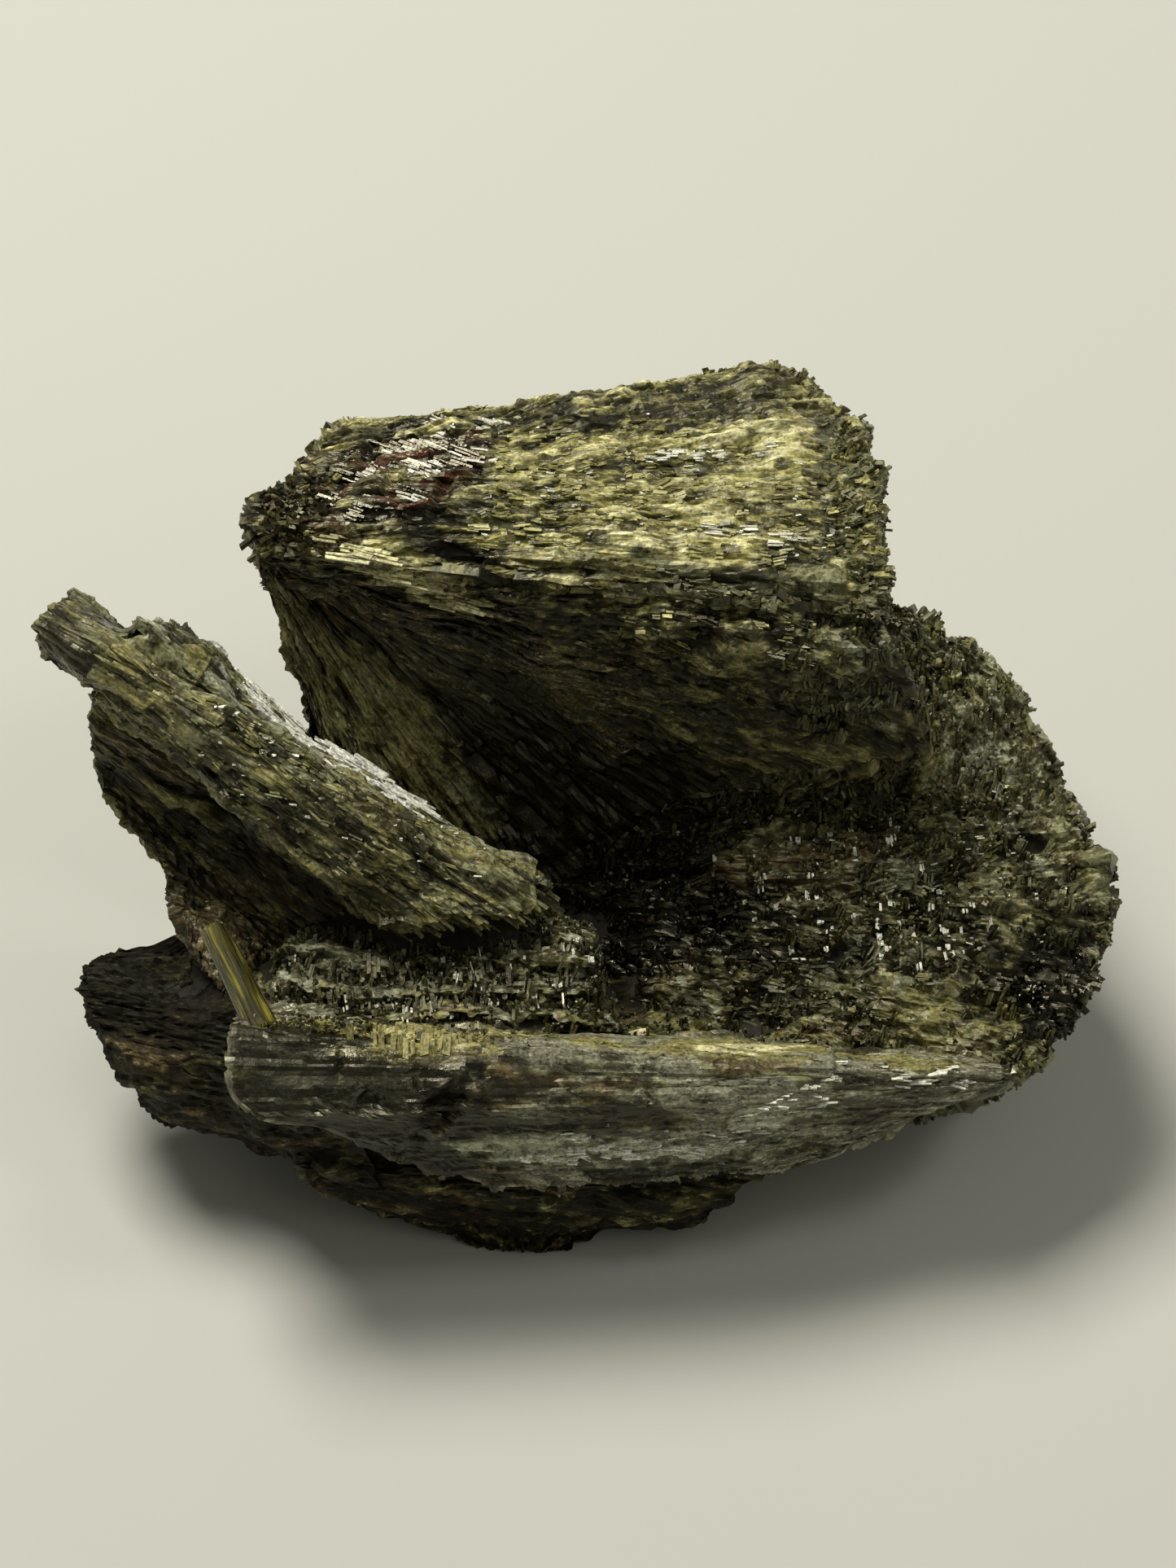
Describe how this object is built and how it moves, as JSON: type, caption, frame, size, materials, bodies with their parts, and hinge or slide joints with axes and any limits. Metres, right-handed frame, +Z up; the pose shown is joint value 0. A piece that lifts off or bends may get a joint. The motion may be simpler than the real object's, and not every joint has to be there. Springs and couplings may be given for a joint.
{
  "type": "epidote crystal cluster",
  "caption": "Fan-shaped epidote crystal cluster: striated dark green blades radiating from a knobbly corner around a deep hollow, lying on its flat broken heel.",
  "frame": {"origin": "bottom centre of the bounding box, on the surface the cluster lies on", "axes": "+Z up; the display side with the hollow leans back 40 degrees from upright and faces -Y and up; +X runs along the fans, away from the knobbly corner"},
  "size_m": [0.0662, 0.0514, 0.0341],
  "materials": {
    "epidote": "satin"
  },
  "bodies": {
    "root": {"epidote_fan": "epidote"}
  },
  "joints": []
}
